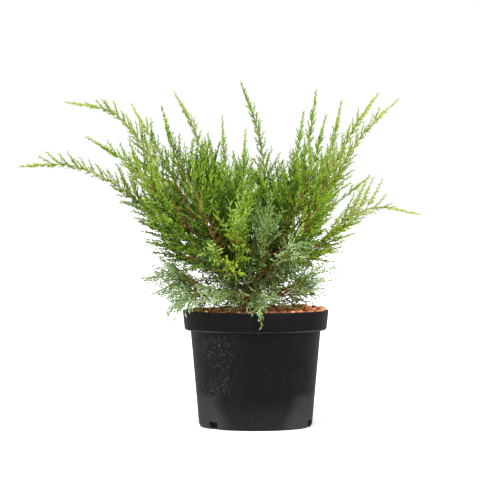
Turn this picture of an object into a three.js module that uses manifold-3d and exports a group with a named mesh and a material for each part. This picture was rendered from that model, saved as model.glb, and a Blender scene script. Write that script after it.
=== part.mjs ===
// A young spreading juniper in a black plastic nursery pot.
// Lengths are millimetres and angles are degrees. +Z is up, +X is to the right and +Y to the back.
// The origin is the centre of the pot's flat underside.
import * as THREE from "three";
import { mergeVertices } from "three/addons/utils/BufferGeometryUtils.js";
import Module from "manifold-3d";

const wasm = await Module();
wasm.setup();

const UP = new THREE.Vector3(0, 0, 1);
const { lerp } = THREE.MathUtils;
const CLEARANCE = 0.3;

// Materials
const plastic = new THREE.MeshStandardMaterial({ color: 0x242424, roughness: 0.35, metalness: 0 });
const barkMulch = new THREE.MeshStandardMaterial({ color: 0x9a5534, roughness: 0.95, metalness: 0 });
const bark = new THREE.MeshStandardMaterial({ color: 0x7a4a30, roughness: 0.9, metalness: 0 });
const foliage = {
  fresh: new THREE.MeshStandardMaterial({ color: 0x8aad3c, roughness: 0.7, metalness: 0 }),
  green: new THREE.MeshStandardMaterial({ color: 0x5f8a2c, roughness: 0.7, metalness: 0 }),
  sea: new THREE.MeshStandardMaterial({ color: 0x5f7f58, roughness: 0.7, metalness: 0 }),
};

// A closed geometry as a solid that can be joined and cut.
function solidOf(geometry) {
  const bare = geometry.clone();
  for (const name of ["normal", "uv"]) bare.deleteAttribute(name);
  const merged = mergeVertices(bare, 1e-4);
  const vertProperties = new Float32Array(merged.attributes.position.array);
  const triVerts = new Uint32Array(merged.index.array);
  return new wasm.Manifold(new wasm.Mesh({ numProp: 3, vertProperties, triVerts }));
}

function meshOf(solid, name, material) {
  const { vertProperties, triVerts } = solid.getMesh();
  const geometry = new THREE.BufferGeometry();
  geometry.setAttribute("position", new THREE.BufferAttribute(vertProperties, 3));
  geometry.setIndex(new THREE.BufferAttribute(triVerts, 1));
  const mesh = new THREE.Mesh(geometry, material);
  mesh.name = name;
  return mesh;
}

function joined(solids) {
  return solids.slice(1).reduce((whole, next) => whole.add(next), solids[0]);
}

// The largest body of a solid, without loose scraps.
function mainBody(solid) {
  const bodies = solid.decompose();
  return bodies.reduce((best, body) => (body.volume() > best.volume() ? body : best), bodies[0]);
}

function boxesMeet(a, b) {
  const first = a.boundingBox();
  const second = b.boundingBox();
  return [0, 1, 2].every((i) => first.min[i] <= second.max[i] && second.min[i] <= first.max[i]);
}

function touches(solid, others) {
  return others.some((other) => boxesMeet(solid, other) && solid.intersect(other).volume() > 0);
}

function cutClear(solid, others) {
  const near = others.filter((other) => touches(solid, [other]));
  return near.length ? mainBody(near.reduce((rest, other) => rest.subtract(other), solid)) : solid;
}

// The pot: one thin moulded wall that steps out to a deep rim, with drainage slots through its foot.
const POT_HEIGHT = 183.5;
const POT_WALL = 1.9;
const POT_FLOOR = 2.6;
const POT_FOOT_RADIUS = 89;
const POT_FOOT_ROUND = 5;
const FOOT_DRAFT = 0.4;
const POT_WAIST_RADIUS = 102.5;
const RIM_FOOT_RADIUS = 112.2;
const RIM_TOP_RADIUS = 115;
const RIM_HEIGHT = 32.5;
const RIM_ROUND = 3.5;
const LIP_BEVEL = 0.8;
const SLOT = { width: 19, height: 12, reach: 17 };
const SLOT_BEARINGS = [-137.8, -18, 102];
const POT_SIDES = 40;
const WAIST_HEIGHT = POT_HEIGHT - RIM_HEIGHT;
const RIM_FOOT_HEIGHT = WAIST_HEIGHT + 1;

function lathe(outline, sides) {
  const points = outline.map(([radius, height]) => new THREE.Vector2(radius, height));
  return new THREE.LatheGeometry(points, sides).rotateX(Math.PI / 2);
}

function outerFace() {
  return [
    [POT_FOOT_RADIUS - POT_FOOT_ROUND, 0],
    [POT_FOOT_RADIUS - POT_FOOT_ROUND * 0.3, POT_FOOT_ROUND * 0.3],
    [POT_FOOT_RADIUS + FOOT_DRAFT, POT_FOOT_ROUND],
    [POT_WAIST_RADIUS, WAIST_HEIGHT],
    [RIM_FOOT_RADIUS - RIM_ROUND, RIM_FOOT_HEIGHT],
    [RIM_FOOT_RADIUS, RIM_FOOT_HEIGHT + RIM_ROUND],
  ];
}

// A face inside the wall, from the floor up to the foot of the rim.
function innerFace(depth) {
  const floor = POT_FLOOR + depth - POT_WALL;
  return [
    [POT_FOOT_RADIUS - POT_FOOT_ROUND - depth, floor],
    [POT_FOOT_RADIUS + FOOT_DRAFT - depth, floor + POT_FOOT_ROUND],
    [POT_WAIST_RADIUS - depth, WAIST_HEIGHT + depth],
    [RIM_FOOT_RADIUS - RIM_ROUND * 0.4 - depth, RIM_FOOT_HEIGHT + depth],
  ];
}

function pot() {
  const lip = [
    [RIM_TOP_RADIUS, POT_HEIGHT - LIP_BEVEL],
    [RIM_TOP_RADIUS - LIP_BEVEL, POT_HEIGHT],
    [RIM_TOP_RADIUS - POT_WALL, POT_HEIGHT],
  ];
  const outline = [[0, 0], ...outerFace(), ...lip, ...innerFace(POT_WALL).reverse(), [0, POT_FLOOR]];
  const shell = solidOf(lathe(outline, POT_SIDES));
  const slots = SLOT_BEARINGS.map((bearing) => {
    const slot = new THREE.BoxGeometry(SLOT.reach, SLOT.width, SLOT.height * 2);
    slot.translate(POT_FOOT_RADIUS, 0, 0);
    slot.rotateZ(THREE.MathUtils.degToRad(bearing));
    return solidOf(slot);
  });
  return slots.reduce((rest, slot) => rest.subtract(slot), shell);
}

// The root ball's compost, which fills the pot, with coarse bark chips lying on it.
const SOIL_LEVEL = 174.5;
const SOIL_MIDDLE = 48;
const SOIL_RING = 80;
const SOIL_HEAVE = 1.2;
const EDGE_HEAVE = 0.4;
const CHIP = { count: 18, length: 17, width: 9, thickness: 5, lift: 1.6, tilt: 24, margin: 11 };
const CHIP_OWNER = 90;
const GOLDEN_TURN = 137.5;

// A number from 0 to 1 that depends only on what it is drawn for.
function chance(owner, place, draw) {
  const wave = Math.sin(owner * 12.9898 + place * 78.233 + draw * 37.719) * 43758.5453;
  return wave - Math.floor(wave);
}

// How far the compost's surface lies above its mean level.
function heave(across, back, reach) {
  const bearing = Math.atan2(back, across);
  return reach * (Math.sin(bearing * 5 + across / 9) + Math.sin(bearing * 9 - back / 7));
}

function chip(index, outermost) {
  const draw = (which) => chance(CHIP_OWNER, index, which);
  const size = lerp(0.7, 1.2, draw(1));
  const piece = new THREE.BoxGeometry(CHIP.length * size, CHIP.width * size, CHIP.thickness);
  const nearest = SOIL_MIDDLE + CHIP.margin;
  piece.rotateZ(Math.PI * draw(4));
  piece.rotateX(THREE.MathUtils.degToRad(CHIP.tilt * (draw(2) - 0.5)));
  piece.translate(lerp(nearest, outermost - CHIP.margin, draw(3)), 0, SOIL_LEVEL + CHIP.lift);
  piece.rotateZ(THREE.MathUtils.degToRad(index * GOLDEN_TURN));
  return solidOf(piece);
}

function substrate() {
  const depth = POT_WALL + CLEARANCE;
  const wall = innerFace(depth);
  const [rimFoot, rimFootHeight] = wall.at(-1);
  const upRim = (SOIL_LEVEL - rimFootHeight) / (POT_HEIGHT - rimFootHeight);
  const edge = lerp(rimFoot, RIM_TOP_RADIUS - depth, upRim);
  const surface = [edge, SOIL_RING, SOIL_MIDDLE].map((radius) => [radius, SOIL_LEVEL]);
  const heap = lathe([[0, wall[0][1]], ...wall, ...surface, [0, SOIL_LEVEL]], POT_SIDES);
  const place = heap.attributes.position;
  for (let i = 0; i < place.count; i += 1) {
    const radius = Math.hypot(place.getX(i), place.getY(i));
    if (place.getZ(i) < SOIL_LEVEL || radius < SOIL_MIDDLE + 1) continue;
    const reach = radius > edge - 1 ? EDGE_HEAVE : SOIL_HEAVE;
    place.setZ(i, SOIL_LEVEL + heave(place.getX(i), place.getY(i), reach));
  }
  const chips = Array.from({ length: CHIP.count }, (_, i) => chip(i, edge));
  return mainBody(joined([solidOf(heap), ...chips]));
}

// Places on the plant are given from the foot of its trunk, as [across, back, up].
const TRUNK_FOOT = new THREE.Vector3(-12, 4, SOIL_LEVEL + CLEARANCE);
const TRUNK_TOP = [10, 8, 104];
const TRUNK_RADIUS = 8;
const TRUNK_TOP_RADIUS = 5;
const ROOT_FLARE = 6;
const FLARE_HEIGHT = 9;
const TRUNK_SIDES = 9;
const TRUNK_STEPS = 9;

function placeOf([across, back, up]) {
  return new THREE.Vector3(across, back, up).add(TRUNK_FOOT);
}

// The direction that slopes up by an angle, over a span's bearing.
function slanting(span, slope) {
  const level = new THREE.Vector3(span.x, span.y, 0).normalize();
  const angle = THREE.MathUtils.degToRad(slope);
  return level.multiplyScalar(Math.cos(angle)).addScaledVector(UP, Math.sin(angle));
}

// A vector square to a direction, in the plane of a second one where they differ.
function squareTo(direction, second) {
  const side = second.clone().addScaledVector(direction, -second.dot(direction));
  return side.lengthSq() > 1e-6 ? side.normalize() : squareTo(direction, new THREE.Vector3(1, 0.3, 0));
}

// A tapering limb along a curve, with flat ends.
function limb(curve, radiusAt, sides, steps) {
  const shape = new THREE.CylinderGeometry(1, 1, 1, sides, steps);
  const place = shape.attributes.position;
  const start = curve.getTangent(0);
  const across = squareTo(start, new THREE.Vector3().crossVectors(start, curve.getTangent(1)));
  for (let i = 0; i < place.count; i += 1) {
    const along = place.getY(i) + 0.5;
    const spoke = new THREE.Vector2(place.getX(i), place.getZ(i));
    if (spoke.length() > 1e-5) spoke.setLength(radiusAt(along));
    const tangent = curve.getTangent(along);
    const side = squareTo(tangent, across);
    const other = new THREE.Vector3().crossVectors(side, tangent);
    const point = curve.getPoint(along).addScaledVector(side, spoke.x).addScaledVector(other, spoke.y);
    place.setXYZ(i, point.x, point.y, point.z);
  }
  return solidOf(shape);
}

const tapering = (root, tip, extra = 0) => (along) => lerp(root, tip, along) + extra;

function trunkLine() {
  const top = placeOf(TRUNK_TOP);
  const bend = TRUNK_FOOT.clone().addScaledVector(UP, TRUNK_TOP[2] * 0.5);
  return new THREE.QuadraticBezierCurve3(TRUNK_FOOT, bend, top);
}

function trunk(extra = 0) {
  const taper = tapering(TRUNK_RADIUS, TRUNK_TOP_RADIUS, extra);
  const flare = (along) => ROOT_FLARE * Math.exp((-along * TRUNK_TOP[2]) / FLARE_HEIGHT);
  return limb(trunkLine(), (along) => taper(along) + flare(along), TRUNK_SIDES, TRUNK_STEPS);
}

// Boughs: the height of the root on the trunk, the tip, the rise of the first stretch, and the radius at the root.
const BOUGHS = {
  left_high: { root: 54, tip: [-62, -16, 122], rise: 52, radius: 5.4 },
  left_long: { root: 35, tip: [-80, -6, 84], rise: 38, radius: 5 },
  left_mid: { root: 70, tip: [-46, -42, 96], rise: 20, radius: 4.4 },
  centre_back: { root: 92, tip: [-14, 30, 126], rise: 40, radius: 4.4 },
  right_high: { root: 46, tip: [52, -2, 104], rise: 46, radius: 5.4 },
  right_back: { root: 76, tip: [34, 40, 110], rise: 38, radius: 4.6 },
  right_mid: { root: 82, tip: [48, -36, 102], rise: 20, radius: 4.2 },
  right_long: { root: 27, tip: [64, -12, 86], rise: 38, radius: 4.6 },
  front_mid: { root: 44, tip: [-20, -46, 72], rise: 30, radius: 4.2 },
  front_right: { root: 58, tip: [26, -52, 66], rise: 5, radius: 4.2 },
  low_left: { root: 16, tip: [-58, -10, 34], rise: 20, radius: 3.8 },
  low_right: { root: 13, tip: [50, -24, 34], rise: 26, radius: 3.8 },
  front_low: { root: 22, tip: [2, -56, 30], rise: 8, radius: 3.6 },
  back_mid: { root: 64, tip: [2, 60, 100], rise: 36, radius: 4.4 },
  back_left: { root: 48, tip: [-52, 52, 88], rise: 38, radius: 4.6 },
  back_right: { root: 36, tip: [50, 52, 78], rise: 38, radius: 4.6 },
  back_low: { root: 24, tip: [-6, 60, 38], rise: 14, radius: 3.8 },
};
const BOUGH_TIP_RADIUS = 3;
const BOUGH_HOLD = 0.5;
const BOUGH_SIDES = 6;
const BOUGH_STEPS = 4;

// A bough sets off at its rise towards its tip's bearing, and bends over to the tip.
function boughLine({ root, tip, rise }) {
  const start = trunkLine().getPoint(root / TRUNK_TOP[2]);
  const end = placeOf(tip);
  const span = new THREE.Vector3().subVectors(end, start);
  const bend = slanting(span, rise).multiplyScalar(BOUGH_HOLD * span.length()).add(start);
  return new THREE.QuadraticBezierCurve3(start, bend, end);
}

function bough(size, extra = 0) {
  return limb(boughLine(size), tapering(size.radius, BOUGH_TIP_RADIUS, extra), BOUGH_SIDES, BOUGH_STEPS);
}

// Masses of foliage: the bough each grows on from, the tip of its leading shoot and the slope it arrives there with,
// the length of the longest side twigs, the share of the shoot that is a thin whip, how far twigs turn up, and the
// colour of its age.
const MASSES = {
  left_crest: { bough: "left_high", tip: [-282, -60, 333], arrive: 8, side: 84, whip: 0.3, lift: 0.5, tone: "fresh" },
  left_spire: { bough: "left_high", tip: [-184, 15, 332], arrive: 58, side: 84, whip: 0.3, lift: 0.3, tone: "fresh" },
  left_plume: { bough: "left_high", tip: [-134, -45, 325], arrive: 74, side: 86, whip: 0.2, lift: 0.3, tone: "green" },
  left_whip: { bough: "left_long", tip: [-356, -25, 234], arrive: -4, side: 88, whip: 0.4, lift: 0.7, tone: "fresh" },
  left_fan: { bough: "left_long", tip: [-148, -46, 112], arrive: -4, side: 74, whip: 0, lift: 0.1, tone: "green" },
  left_brush: { bough: "left_mid", tip: [-246, -115, 277], arrive: 30, side: 94, whip: 0.15, lift: 0.6, tone: "fresh" },
  left_tower: { bough: "left_mid", tip: [-87, -95, 269], arrive: 84, side: 88, whip: 0.1, lift: 0.3, tone: "green" },
  back_whip: { bough: "centre_back", tip: [-118, 100, 355], arrive: 56, side: 81, whip: 0.3, lift: 0.3, tone: "fresh" },
  centre_spire: { bough: "centre_back", tip: [-41, 72, 314], arrive: 86, side: 76, whip: 0.3, lift: 0.3, tone: "green" },
  centre_plume: { bough: "centre_back", tip: [-4, 4, 292], arrive: 84, side: 88, whip: 0.1, lift: 0.3, tone: "fresh" },
  right_crest: { bough: "right_high", tip: [238, 20, 341], arrive: 43, side: 89, whip: 0.3, lift: 0.4, tone: "fresh" },
  right_brush: { bough: "right_high", tip: [202, -48, 347], arrive: 54, side: 84, whip: 0.3, lift: 0.3, tone: "fresh" },
  right_tower: { bough: "right_high", tip: [106, -26, 350], arrive: 82, side: 81, whip: 0.3, lift: 0.3, tone: "green" },
  centre_whip: { bough: "right_back", tip: [-11, 66, 370], arrive: 66, side: 84, whip: 0.4, lift: 0.2, tone: "green" },
  right_spire: { bough: "right_back", tip: [91, 112, 325], arrive: 76, side: 78, whip: 0.3, lift: 0.3, tone: "green" },
  right_plume: { bough: "right_back", tip: [151, 78, 341], arrive: 78, side: 80, whip: 0.3, lift: 0.3, tone: "fresh" },
  front_tower: { bough: "right_mid", tip: [119, -98, 310], arrive: 72, side: 81, whip: 0.15, lift: 0.3, tone: "green" },
  right_tuft: { bough: "right_mid", tip: [156, -108, 207], arrive: 30, side: 80, whip: 0.1, lift: 0.4, tone: "green" },
  right_whip: { bough: "right_long", tip: [267, -30, 159], arrive: -12, side: 88, whip: 0.15, lift: 0.9, tone: "fresh" },
  right_rise: { bough: "right_long", tip: [192, 22, 218], arrive: 38, side: 58, whip: 0.3, lift: 0.4, tone: "fresh" },
  front_plume: { bough: "front_mid", tip: [-15, -165, 190], arrive: 60, side: 90, whip: 0, lift: 0.4, tone: "fresh" },
  front_fan: { bough: "front_mid", tip: [-58, -172, 92], arrive: 0, side: 90, whip: 0, lift: 0.2, tone: "fresh" },
  front_dome: { bough: "front_right", tip: [26, -160, 168], arrive: 46, side: 86, whip: 0, lift: 0.3, tone: "sea" },
  front_skirt: { bough: "front_right", tip: [86, -168, 92], arrive: -8, side: 90, whip: 0, lift: 0.2, tone: "sea" },
  low_left_fan: { bough: "low_left", tip: [-153, -30, 104], arrive: 40, side: 100, whip: 0, lift: 0.2, tone: "sea" },
  low_left_droop: { bough: "low_left", tip: [-156, 16, 30], arrive: -24, side: 98, whip: 0, lift: -0.2, tone: "sea" },
  low_left_trail: { bough: "low_left", tip: [-118, -62, -14], arrive: -62, side: 72, whip: 0.1, lift: -0.5, tone: "green" },
  low_right_fan: { bough: "low_right", tip: [143, -60, 58], arrive: 6, side: 90, whip: 0, lift: 0.1, tone: "sea" },
  low_right_skirt: { bough: "low_right", tip: [116, -8, 26], arrive: -24, side: 92, whip: 0, lift: -0.1, tone: "sea" },
  low_right_tuft: { bough: "low_right", tip: [124, 8, 88], arrive: 36, side: 84, whip: 0, lift: 0.2, tone: "sea" },
  front_trail: { bough: "front_low", tip: [20, -142, -14], arrive: -66, side: 50, whip: 0, lift: -0.5, tone: "sea" },
  front_hem: { bough: "front_low", tip: [-84, -108, 40], arrive: 0, side: 88, whip: 0, lift: 0, tone: "sea" },
  back_plume: { bough: "back_mid", tip: [6, 226, 252], arrive: 38, side: 84, whip: 0.2, lift: 0.4, tone: "fresh" },
  back_crest: { bough: "back_mid", tip: [-66, 178, 292], arrive: 66, side: 81, whip: 0.15, lift: 0.3, tone: "green" },
  back_left_whip: { bough: "back_left", tip: [-188, 206, 236], arrive: 34, side: 84, whip: 0.25, lift: 0.4, tone: "fresh" },
  back_left_fan: { bough: "back_left", tip: [-140, 130, 146], arrive: 8, side: 70, whip: 0, lift: 0.2, tone: "green" },
  back_right_whip: { bough: "back_right", tip: [160, 206, 238], arrive: 44, side: 84, whip: 0.2, lift: 0.4, tone: "fresh" },
  back_right_fan: { bough: "back_right", tip: [112, 138, 112], arrive: 4, side: 70, whip: 0, lift: 0.2, tone: "sea" },
  back_fan: { bough: "back_low", tip: [-34, 172, 76], arrive: 14, side: 82, whip: 0, lift: 0.1, tone: "sea" },
  back_skirt: { bough: "back_low", tip: [62, 150, 34], arrive: -14, side: 76, whip: 0, lift: 0, tone: "sea" },
};
const STEM_RADIUS = 1.7;
const STEM_TIP_RADIUS = 0.7;
const STEM_SIDES = 3;
const STEM_STRETCHES = 6;
const STEM_MARKS = 12;
const FAN_ANGLE = 38;
const STEM_SEAT = 1.3;
const STEM_SPREAD = 2.1;
const STEM_START = 0.2;
const STEM_ARRIVAL = 0.3;
const LAST_SPRAY = 0.55;
const LAST_ROOT = 2;
const LAST_NECK = 1;
const STATION_PITCH = 6.4;
const STATIONS_A_TWIG = 3;
const LOW_STATIONS_A_TWIG = 2;
const LOW_TIP = 120;
const STATION_TURN = 165.8;
const FEWEST_STATIONS = 8;
const OPEN_AT_FOOT = 84;
const OPEN_AT_TIP = 30;
const OPEN_SPREAD = 12;
const MASS_TURN = 77;
const FULLEST = 0.3;
const FOOT_FULLNESS = 0.85;
const TIP_FULLNESS = 0.35;
const WHIP_FULLNESS = 0.2;
const TWIG_SHARE = 0.55;
const TWIG_BEND = 0.25;
const TWIG_SHORTEST = 0.8;
const TWIG_SPREAD = 0.4;
const TWIG_SKYWARD = 0.55;
const TWIG_FORWARD = 0.4;
const SPRAY_WIDTH = 0.56;
const LAST_WIDTH = 0.34;
const SPRAY_THICKNESS = 0.12;
const SPRAY_MIDDLE = 0.4;
const SPRAY_ROLL = 130;
// One side of a spray's toothed outline: shares of its length and of half its width.
const SPRAY_TEETH = [
  [0.4, 1],
  [0.54, 0.5],
];
// What a twig tries until it has room between its neighbours: shares of its full length, and turns round the shoot.
const TWIG_CHOICES = [1, 0.85, 0.7, 0.55].flatMap((share) => [0, 45, -45, 90, -90].map((turned) => [share, turned]));

const massNames = Object.keys(MASSES);

// A mass's leading shoot. The shoots on one bough fan out round its tip, away from each other.
function stemLine(mass) {
  const line = boughLine(BOUGHS[mass.bough]);
  const axis = line.getTangent(1);
  const family = Object.values(MASSES).filter((other) => other.bough === mass.bough);
  const middle = new THREE.Vector3();
  for (const other of family) middle.addScaledVector(placeOf(other.tip), 1 / family.length);
  const tip = placeOf(mass.tip);
  const apart = squareTo(axis, new THREE.Vector3().subVectors(tip, middle));
  const angle = THREE.MathUtils.degToRad(FAN_ANGLE);
  const first = axis.clone().multiplyScalar(Math.cos(angle)).addScaledVector(apart, Math.sin(angle));
  const start = line.v2.clone().addScaledVector(axis, STEM_SEAT).addScaledVector(apart, STEM_SPREAD);
  const span = new THREE.Vector3().subVectors(tip, start);
  const arrival = slanting(span, mass.arrive);
  const end = tip.addScaledVector(arrival, -LAST_SPRAY * mass.side);
  const away = first.multiplyScalar(STEM_START * span.length()).add(start);
  const before = end.clone().addScaledVector(arrival, -STEM_ARRIVAL * span.length());
  return new THREE.CubicBezierCurve3(start, away, before, end);
}

// A point of the shoot as it is built, in straight stretches.
function onStem(line, along) {
  const stretch = Math.min(STEM_STRETCHES - 1, Math.floor(along * STEM_STRETCHES));
  const from = line.getPoint(stretch / STEM_STRETCHES);
  return from.lerp(line.getPoint((stretch + 1) / STEM_STRETCHES), along * STEM_STRETCHES - stretch);
}

// How long side twigs are at a share of the way up a mass, as a share of the longest.
function fullness(along, whip) {
  const share = along / (1 - whip);
  if (share > 1) return WHIP_FULLNESS;
  return share < FULLEST
    ? lerp(FOOT_FULLNESS, 1, share / FULLEST)
    : lerp(1, TIP_FULLNESS, (share - FULLEST) / (1 - FULLEST));
}

// The way a spray's flat side looks: to the front, rolled round the spray's own line.
function facing(ending, roll) {
  return squareTo(ending, new THREE.Vector3(0, -1, 0)).applyAxisAngle(ending, THREE.MathUtils.degToRad(roll));
}

// The side twig that a mass's leading shoot bears at a station. It sets off outwards, and past its bend it turns
// forward and up.
function twigAt(mass, number, line, station, stations, turned) {
  const along = (station + 0.5) / stations;
  const draw = (which) => chance(number, station, which);
  const tangent = line.getTangent(along);
  const level = squareTo(tangent, new THREE.Vector3().crossVectors(tangent, UP));
  const above = new THREE.Vector3().crossVectors(level, tangent);
  const around = THREE.MathUtils.degToRad(station * STATION_TURN + number * MASS_TURN + turned);
  const outward = level.multiplyScalar(Math.cos(around)).addScaledVector(above, Math.sin(around));
  const opening = lerp(OPEN_AT_FOOT, OPEN_AT_TIP, Math.sqrt(along)) + OPEN_SPREAD * (draw(1) - 0.5);
  const angle = THREE.MathUtils.degToRad(opening);
  const heading = tangent.clone().multiplyScalar(Math.cos(angle)).addScaledVector(outward, Math.sin(angle));
  const vigour = (TWIG_SHORTEST + TWIG_SPREAD * draw(2)) * (1 + TWIG_SKYWARD * outward.z);
  const length = mass.side * fullness(along, mass.whip) * vigour;
  const lift = mass.lift * (0.5 + 0.5 * outward.z);
  const ending = heading.clone().addScaledVector(tangent, TWIG_FORWARD).addScaledVector(UP, lift).normalize();
  const start = onStem(line, along);
  const bend = start.clone().addScaledVector(heading, TWIG_BEND * length);
  const face = facing(ending, SPRAY_ROLL * (draw(3) - 0.5));
  const radius = TWIG_SHARE * lerp(STEM_RADIUS, STEM_TIP_RADIUS, along);
  return { start, bend, ending, face, radius, breadth: SPRAY_WIDTH, length: (1 - TWIG_BEND) * length };
}

// The spray that a leading shoot ends in.
function lastTwig(mass, number, line) {
  const ending = line.getTangent(1);
  const start = line.getPoint(1).addScaledVector(ending, -LAST_ROOT);
  const bend = line.getPoint(1).addScaledVector(ending, LAST_NECK);
  const face = facing(ending, SPRAY_ROLL * (chance(number, 0, 3) - 0.5));
  const radius = TWIG_SHARE * STEM_TIP_RADIUS;
  return { start, bend, ending, face, radius, breadth: LAST_WIDTH, length: LAST_SPRAY * mass.side - LAST_NECK };
}

// A three-sided twig up to its bend, and on it a flat toothed spray that tapers to a point, thickest at its middle.
function twigSolid({ start, bend, ending, face, radius, breadth, length }, extra = 0) {
  const side = new THREE.Vector3().crossVectors(face, ending);
  const width = (breadth * length) / 2 + extra;
  const half = (SPRAY_THICKNESS * length) / 2 + extra;
  const reach = radius + extra;
  const at = (from, out, spread, rise) =>
    from.clone().addScaledVector(ending, out).addScaledVector(side, spread).addScaledVector(face, rise);
  const section = (from, size) => [at(from, 0, -size, 0), at(from, 0, size, 0), at(from, 0, 0, 1.5 * size)];
  const rightEdge = SPRAY_TEETH.map(([share, spread]) => at(bend, share * length, spread * width, 0));
  const leftEdge = SPRAY_TEETH.map(([share, spread]) => at(bend, share * length, -spread * width, 0));
  const corners = [...section(start, 0.5 * reach), ...section(bend, reach)];
  const [left, right, top] = [3, 4, 5];
  const first = corners.length;
  corners.push(...rightEdge, at(bend, length + extra, 0, 0), ...leftEdge.reverse());
  const edge = [right, ...Array.from({ length: corners.length - first }, (_, i) => first + i), left];
  corners.push(at(bend, SPRAY_MIDDLE * length, 0, half), at(bend, SPRAY_MIDDLE * length, 0, -half));
  const upper = corners.length - 2;
  const lower = corners.length - 1;
  const triangles = [0, 2, 1, 0, 1, right, 0, right, left, 1, 2, top, 1, top, right, 2, 0, left, 2, left, top];
  triangles.push(upper, top, left, upper, right, top, lower, left, right);
  for (let i = 1; i < edge.length; i += 1) {
    triangles.push(upper, edge[i], edge[i - 1], lower, edge[i - 1], edge[i]);
  }
  const shape = new THREE.BufferGeometry().setFromPoints(corners);
  shape.setIndex(triangles);
  return solidOf(shape);
}

// The mass whose leading shoot passes nearest to a point.
function ownerOf(point, stems) {
  let owner = -1;
  let nearest = Infinity;
  stems.forEach(({ marks }, i) => {
    for (const mark of marks) {
      const gap = mark.distanceToSquared(point);
      if (gap < nearest) [nearest, owner] = [gap, i];
    }
  });
  return owner;
}

// Whether a twig keeps to its own mass's space, clear of its mass's other twigs and of everything else.
function hasRoom(twig, owner, stems, own, others) {
  const along = [0.2, 0.5, 0.8].map((share) => twig.bend.clone().addScaledVector(twig.ending, share * twig.length));
  if (along.some((point) => ownerOf(point, stems) !== owner)) return false;
  const past = { ...twig, start: twig.start.clone().lerp(twig.bend, 0.6) };
  return !touches(twigSolid(past), own) && !touches(twigSolid(twig, CLEARANCE), others);
}

function plant(obstacles) {
  const parts = [meshOf(trunk(), "trunk", bark)];
  const grown = [trunk(CLEARANCE)];
  for (const [name, size] of Object.entries(BOUGHS)) {
    const clear = cutClear(bough(size), grown);
    parts.push(meshOf(clear, `bough_${name}`, bark));
    grown.push(bough(size, CLEARANCE));
  }
  const stems = massNames.map((name) => {
    const line = stemLine(MASSES[name]);
    const radiusAt = (extra) => tapering(STEM_RADIUS, STEM_TIP_RADIUS, extra);
    return {
      line,
      marks: line.getPoints(STEM_MARKS),
      solid: limb(line, radiusAt(0), STEM_SIDES, STEM_STRETCHES),
      grown: limb(line, radiusAt(CLEARANCE), STEM_SIDES, STEM_STRETCHES),
    };
  });
  const finished = [];
  massNames.forEach((name, i) => {
    const mass = MASSES[name];
    const number = i + 1;
    const { line } = stems[i];
    const later = stems.slice(i + 1).map((stem) => stem.grown);
    const others = [...obstacles, ...grown, ...finished, ...later];
    const pieces = [cutClear(stems[i].solid, [...grown, ...stems.slice(0, i).map((stem) => stem.grown)])];
    const stations = Math.max(FEWEST_STATIONS, Math.round(line.getLength() / STATION_PITCH));
    const apart = mass.tip[2] < LOW_TIP ? LOW_STATIONS_A_TWIG : STATIONS_A_TWIG;
    for (let station = 1; station < stations - 1; station += apart) {
      const choices = TWIG_CHOICES.map(([share, turned]) => {
        const twig = twigAt(mass, number, line, station, stations, turned);
        return { ...twig, bend: twig.start.clone().lerp(twig.bend, share), length: share * twig.length };
      });
      const held = choices.find((twig) => hasRoom(twig, i, stems, pieces, others));
      if (held) pieces.push(twigSolid(held));
    }
    pieces.push(twigSolid(lastTwig(mass, number, line)));
    const whole = mainBody(joined(pieces));
    finished.push(whole);
    parts.push(meshOf(whole, `foliage_${name}`, foliage[mass.tone]));
  });
  return parts;
}

const potSolid = pot();
const soilSolid = substrate();
const juniper = new THREE.Group();
juniper.add(meshOf(potSolid, "pot", plastic));
juniper.add(meshOf(soilSolid, "substrate", barkMulch));
juniper.add(...plant([potSolid, soilSolid]));

export default juniper;
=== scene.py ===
# A young spreading juniper, standing in the black plastic pot that it was grown in.
# Lengths are millimetres until a piece is made, and angles are degrees. +X is right, +Y is back and +Z is up.
import math

import bpy
import numpy as np
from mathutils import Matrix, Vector, noise


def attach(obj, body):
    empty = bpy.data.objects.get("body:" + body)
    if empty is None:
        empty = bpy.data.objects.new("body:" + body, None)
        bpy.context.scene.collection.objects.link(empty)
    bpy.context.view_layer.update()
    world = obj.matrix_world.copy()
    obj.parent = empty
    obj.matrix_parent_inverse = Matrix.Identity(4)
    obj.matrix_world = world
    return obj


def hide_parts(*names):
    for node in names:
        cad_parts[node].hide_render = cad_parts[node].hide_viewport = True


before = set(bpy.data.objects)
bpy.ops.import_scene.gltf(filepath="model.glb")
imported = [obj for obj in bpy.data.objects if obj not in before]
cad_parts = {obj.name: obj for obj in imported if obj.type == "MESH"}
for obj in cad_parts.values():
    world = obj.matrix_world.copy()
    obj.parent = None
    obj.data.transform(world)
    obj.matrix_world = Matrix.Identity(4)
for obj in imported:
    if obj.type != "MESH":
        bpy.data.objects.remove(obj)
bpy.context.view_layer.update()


# The pot. A thin shell of black polypropylene, moulded in one with a deep rim to lift and stack it by. Three
# drainage slots go through its foot, and its sheen is dulled by dried compost, dust and scuffs. A painted
# reflection of the floor lightens its foot at both sides, and a painted highlight the ledge under its rim.
MM = 0.001
POT_SIDES = 96
POT_HEIGHT = 183.5
WAIST = 151
POT_FOOT = 84
POT_BODY = [(87.5, 1.5), (89.4, 5), (102.5, WAIST)]
POT_RIM = [(108.7, WAIST + 1), (111.3, WAIST + 2.1), (112.2, WAIST + 4.5)]
POT_LIP = [(115, POT_HEIGHT - 0.8), (114.2, POT_HEIGHT), (113.5, POT_HEIGHT)]
POT_INSIDE = [(108.9, WAIST + 2.9), (100.6, WAIST + 1.9), (87.5, 7.6), (82.1, 2.6)]
UNDERSIDE_RING = 16
UNDERSIDE_RECESS = 1
MOULD_ROUND = 0.6
SLOT_BEARINGS = [-137.8, -18, 102]
SLOT_SIZE = (17 * MM, 19 * MM, 24 * MM)
SLOT_RADIUS = 89
SLOT_ROUND = 1.4
PLASTIC_TONE = (15, 13, 13)
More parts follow.
